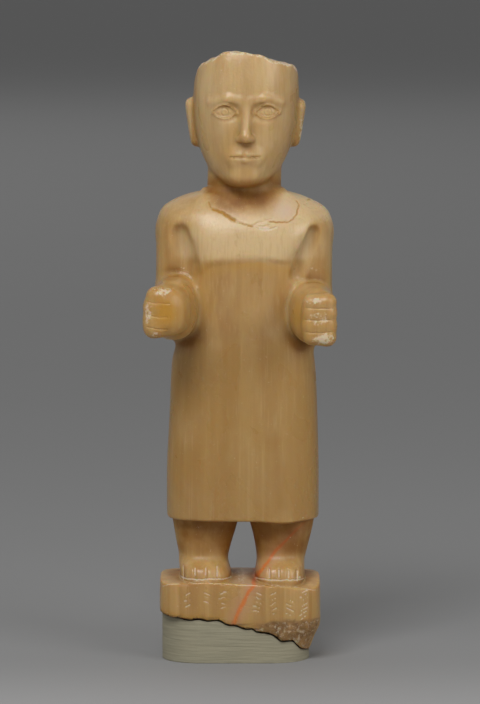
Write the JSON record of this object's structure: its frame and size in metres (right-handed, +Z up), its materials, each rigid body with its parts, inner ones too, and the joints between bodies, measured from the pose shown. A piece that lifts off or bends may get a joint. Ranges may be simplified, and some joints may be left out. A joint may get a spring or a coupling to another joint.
{
  "type": "standing male stone statue",
  "caption": "Standing robed figure of honey-coloured banded alabaster with forearms held forward, on a broken plinth completed by a plain painted block.",
  "frame": {"origin": "centre of the stand on the underside of the support block, below the mid-line of the figure", "axes": "+Z up along the figure, -Y the way the figure faces, +X towards the figure's own left"},
  "size_m": [0.1563, 0.1388, 0.5012],
  "materials": {
    "alabaster": "satin",
    "painted_fill": "matte"
  },
  "bodies": {
    "root": {"statue": "alabaster", "support_block": "painted_fill"}
  },
  "joints": []
}
